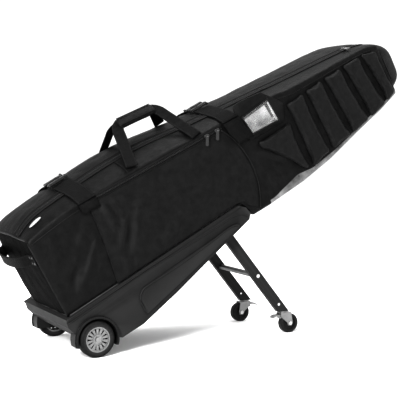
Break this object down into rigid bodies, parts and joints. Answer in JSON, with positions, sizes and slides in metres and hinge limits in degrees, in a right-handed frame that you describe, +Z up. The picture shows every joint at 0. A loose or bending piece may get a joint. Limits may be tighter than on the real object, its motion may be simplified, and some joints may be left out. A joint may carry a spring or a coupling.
{
  "type": "golf travel case",
  "caption": "Wheeled soft golf travel case on a moulded base, standing tilted on two wheels and folding legs with swivel casters; zipped lid, straps, pockets and handles.",
  "frame": {"origin": "on the floor, at the middle of the standing case's outline seen from above", "axes": "+X along the case toward the raised club-head end, +Y across it toward the side away from the pocket, +Z up; the case stands on its two wheels and two casters, tilted 28.5 degrees"},
  "size_m": [1.3166, 0.374, 0.8935],
  "materials": {
    "base_plastic": "moulded, fine grain",
    "flare_plastic": "polished black",
    "board": "smooth sheet",
    "polyester": "heavy woven polyester",
    "lining_foam": "foam backed knit",
    "grey_sheet": "coated reinforcing sheet",
    "webbing": "ribbed webbing",
    "zip_tape": "coil zip on tape",
    "zip_metal": "black painted zinc",
    "buckle_plastic": "satin acetal",
    "window_film": "clear vinyl",
    "rivet_metal": "dark rivet",
    "leg_paint": "satin black powder coat",
    "crossbar_metal": "satin grey",
    "bolt_metal": "bright zinc",
    "nylon": "nylon",
    "steel": "zinc plated",
    "tyre_rubber": "soft urethane",
    "rim_plastic": "grey moulded",
    "caster_tread": "polyurethane"
  },
  "bodies": {
    "case": {"base_shell": "base_plastic", "wheel_axles": "steel", "leg_brackets": "steel", "floor_board": "board", "rivets": "rivet_metal", "side_panel_near": "polyester", "side_panel_far": "polyester", "wheel_end_panel": "polyester", "nose_panel": "polyester", "underside_panel": "grey_sheet", "top_gusset": "polyester", "main_zipper_case": "zip_tape", "side_pocket": "polyester", "pocket_zipper": "zip_tape", "rib_pads": "polyester", "id_pocket": "polyester", "id_window": "window_film", "wheel_end_handle": "webbing", "top_end_handle": "webbing", "sewn_webbing": "webbing", "head_padding": "lining_foam", "inner_straps": "webbing", "wheel_housing_near": "flare_plastic", "wheel_housing_far": "flare_plastic", "leg_pins": "steel"},
    "lid": {"lid_panel": "polyester", "main_zipper_lid": "zip_tape", "handle_strap_far": "webbing", "straps_far": "webbing", "buckles_far": "buckle_plastic"},
    "near_handle": {"handle_strap_near": "webbing", "handle_grip": "polyester"},
    "near_straps": {"straps_near": "webbing", "buckles_near": "buckle_plastic"},
    "wheel_near": {"tyre_near": "tyre_rubber", "rim_near": "rim_plastic", "wheel_bearings_near": "steel"},
    "wheel_far": {"tyre_far": "tyre_rubber", "rim_far": "rim_plastic", "wheel_bearings_far": "steel"},
    "legs": {"leg_tube_near": "leg_paint", "leg_tube_far": "leg_paint", "leg_crossbar": "crossbar_metal", "leg_bolts": "bolt_metal", "leg_inserts": "nylon", "caster_stems": "steel"},
    "caster_near": {"caster_fork_near": "bolt_metal", "caster_pin_near": "steel"},
    "caster_far": {"caster_fork_far": "bolt_metal", "caster_pin_far": "steel"},
    "roller_near": {"caster_wheel_near": "caster_tread"},
    "roller_far": {"caster_wheel_far": "caster_tread"},
    "brake_near": {"caster_brake_near": "nylon"},
    "brake_far": {"caster_brake_far": "nylon"},
    "main_slider": {"main_slider": "zip_metal"},
    "main_pull": {"main_pull": "zip_metal"},
    "pocket_slider_left": {"pocket_slider_left": "zip_metal"},
    "pocket_slider_right": {"pocket_slider_right": "zip_metal"},
    "pocket_pull_left": {"pocket_pull_left": "zip_metal"},
    "pocket_pull_right": {"pocket_pull_right": "zip_metal"}
  },
  "joints": [
    {"name": "lid_open", "type": "hinge", "parent": "case", "child": "lid", "pos_m": [-0.64321, 0.17, 0.32903], "axis": [-0.9005, 0, -0.435], "range_deg": [0, 80]},
    {"name": "near_handle_fall", "type": "hinge", "parent": "case", "child": "near_handle", "pos_m": [-0.23733, -0.1715, 0.56647], "axis": [0.9219, 0, 0.3875], "range_deg": [0, 176]},
    {"name": "near_straps_fall", "type": "hinge", "parent": "case", "child": "near_straps", "pos_m": [-0.4778, -0.175, 0.43932], "axis": [0.8983, 0, 0.4394], "range_deg": [0, 160]},
    {"name": "legs_fold", "type": "hinge", "parent": "case", "child": "legs", "pos_m": [-0.0305, 0, 0.33854], "axis": [0, 1, 0], "range_deg": [0, 89]},
    {"name": "wheel_spin_near", "type": "hinge", "parent": "case", "child": "wheel_near", "pos_m": [-0.44864, -0.1675, 0.051], "axis": [0, 1, 0], "continuous": true},
    {"name": "caster_swivel_near", "type": "hinge", "parent": "legs", "child": "caster_near", "pos_m": [0.18936, -0.115, 0.064], "axis": [0, 0, 1], "continuous": true},
    {"name": "caster_roll_near", "type": "hinge", "parent": "caster_near", "child": "roller_near", "pos_m": [0.20936, -0.115, 0.03], "axis": [0, 1, 0], "continuous": true},
    {"name": "caster_brake_near", "type": "hinge", "parent": "caster_near", "child": "brake_near", "pos_m": [0.18486, -0.115, 0.0567], "axis": [0, -1, 0], "range_deg": [0, 12]},
    {"name": "wheel_spin_far", "type": "hinge", "parent": "case", "child": "wheel_far", "pos_m": [-0.44864, 0.1675, 0.051], "axis": [0, 1, 0], "continuous": true},
    {"name": "caster_swivel_far", "type": "hinge", "parent": "legs", "child": "caster_far", "pos_m": [0.18936, 0.115, 0.064], "axis": [0, 0, 1], "continuous": true},
    {"name": "caster_roll_far", "type": "hinge", "parent": "caster_far", "child": "roller_far", "pos_m": [0.16936, 0.115, 0.03], "axis": [0, 1, 0], "continuous": true},
    {"name": "caster_brake_far", "type": "hinge", "parent": "caster_far", "child": "brake_far", "pos_m": [0.19386, 0.115, 0.0567], "axis": [0, 1, 0], "range_deg": [0, 12]},
    {"name": "main_zip_slide", "type": "slide", "parent": "case", "child": "main_slider", "axis": [-0.9219, 0, -0.3875], "range_m": [0, 0.27]},
    {"name": "main_pull_swing", "type": "hinge", "parent": "main_slider", "child": "main_pull", "pos_m": [0.41512, -0.0972, 0.87491], "axis": [-0.9219, 0, -0.3875], "range_deg": [0, 140]},
    {"name": "pocket_zip_left", "type": "slide", "parent": "case", "child": "pocket_slider_left", "axis": [-0.9025, 0, -0.4306], "range_m": [0, 0.335]},
    {"name": "pocket_pull_left_swing", "type": "hinge", "parent": "pocket_slider_left", "child": "pocket_pull_left", "pos_m": [-0.10926, -0.1838, 0.60724], "axis": [0, 1, 0], "range_deg": [-60, 60]},
    {"name": "pocket_zip_right", "type": "slide", "parent": "case", "child": "pocket_slider_right", "axis": [-0.9025, 0, -0.4306], "range_m": [-0.012, 0.01]},
    {"name": "pocket_pull_right_swing", "type": "hinge", "parent": "pocket_slider_right", "child": "pocket_pull_right", "pos_m": [-0.07582, -0.1838, 0.6232], "axis": [0, 1, 0], "range_deg": [-60, 60]}
  ],
  "couplings": [
    {"joint": "near_handle_fall", "follows": "lid_open", "ratio": 2.2},
    {"joint": "near_straps_fall", "follows": "lid_open", "ratio": 2}
  ]
}
